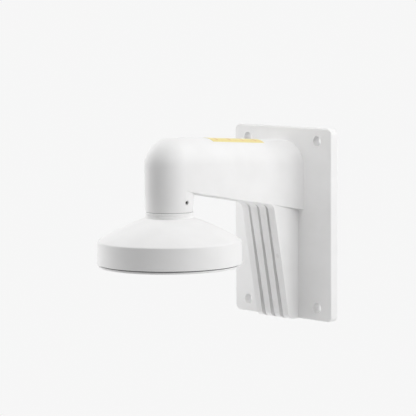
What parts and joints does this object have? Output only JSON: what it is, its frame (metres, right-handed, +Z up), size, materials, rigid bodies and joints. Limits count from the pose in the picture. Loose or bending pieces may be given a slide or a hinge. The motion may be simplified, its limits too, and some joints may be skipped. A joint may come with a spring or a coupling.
{
  "type": "camera wall bracket",
  "caption": "Pendant wall bracket for a dome camera: rectangular wall plate, hollow curved arm with a ribbed gusset, and a round cap hanging from the neck.",
  "frame": {"origin": "centre of the four wall holes, on the plane of the wall", "axes": "+Z up, the arm reaches out along -Y, the wall's side is +Y, +X to the right of someone who faces the wall"},
  "size_m": [0.1096, 0.1793, 0.15],
  "materials": {
    "painted_casting": "white satin powder coat on die-cast aluminium, fine orange peel",
    "painted_sheet": "white satin powder coat on sheet steel",
    "seal_silicone": "grey silicone",
    "gasket_rubber": "matt dark rubber, a little dusty",
    "black_steel": "black oxide steel",
    "plated_steel": "zinc-plated steel",
    "label_vinyl": "pale yellow vinyl sticker with plain printed bands and ticks"
  },
  "bodies": {
    "root": {"arm_casting": "painted_casting", "pendant_cap": "painted_casting", "neck_seal": "seal_silicone", "lock_screw": "black_steel", "adaptor_gasket": "gasket_rubber", "adaptor_plate": "painted_sheet", "crown_label": "label_vinyl", "adaptor_screw_1": "plated_steel", "adaptor_screw_2": "plated_steel", "adaptor_screw_3": "plated_steel", "camera_nut_1": "plated_steel", "camera_nut_2": "plated_steel", "camera_nut_3": "plated_steel", "camera_nut_4": "plated_steel"}
  },
  "joints": []
}
